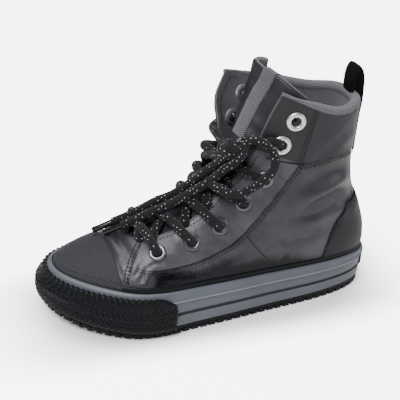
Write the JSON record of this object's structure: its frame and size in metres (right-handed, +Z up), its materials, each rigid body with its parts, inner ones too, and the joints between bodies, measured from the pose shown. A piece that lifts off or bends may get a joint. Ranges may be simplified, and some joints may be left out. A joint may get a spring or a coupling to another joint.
{
  "type": "sneaker boot",
  "caption": "Left high-top sneaker boot in dark leather, laced through metal eyelets, with rubber toe cap and bumper, cup sole, lugged outsole and webbing pull loop.",
  "frame": {"origin": "on the floor, at the middle of the shoe's length and width", "axes": "+X to the toe, +Y to the outer (lateral) side of the left shoe, +Z up"},
  "size_m": [0.2688, 0.1037, 0.187],
  "materials": {
    "black_rubber": "matt, finely textured",
    "grey_rubber": "satin",
    "insole_cloth": "woven, matt",
    "leather": "semi-matt, creased",
    "dark_leather": "matt, coated",
    "webbing": "tight weave, matt",
    "grey_webbing": "tight weave, matt",
    "gunmetal": "dark plated, satin",
    "silver": "bright plated, satin",
    "lace": "round braid with pale flecks"
  },
  "bodies": {
    "root": {"outsole": "black_rubber", "midsole": "grey_rubber", "toe_bumper": "black_rubber", "heel_label": "black_rubber", "insole": "insole_cloth", "upper": "leather", "toe_cap": "black_rubber", "rand": "black_rubber", "heel_counter": "leather", "tongue": "leather", "tongue_ribbon": "grey_webbing", "pull_loop": "webbing", "eyestay_lateral": "leather", "eyestay_medial": "leather", "top_panel_lateral": "dark_leather", "top_panel_medial": "dark_leather", "lace_bars": "lace", "lace_knot": "lace", "lace_loop": "lace", "lace_end_1": "lace", "lace_end_2": "lace", "aglet_1": "gunmetal", "aglet_2": "gunmetal", "eyelet_lateral_1": "gunmetal", "eyelet_lateral_2": "gunmetal", "eyelet_lateral_3": "gunmetal", "eyelet_lateral_4": "gunmetal", "eyelet_lateral_5": "gunmetal", "eyelet_lateral_6": "silver", "eyelet_lateral_7": "silver", "eyelet_medial_1": "gunmetal", "eyelet_medial_2": "gunmetal", "eyelet_medial_3": "gunmetal", "eyelet_medial_4": "gunmetal", "eyelet_medial_5": "gunmetal", "eyelet_medial_6": "silver", "eyelet_medial_7": "silver"}
  },
  "joints": []
}
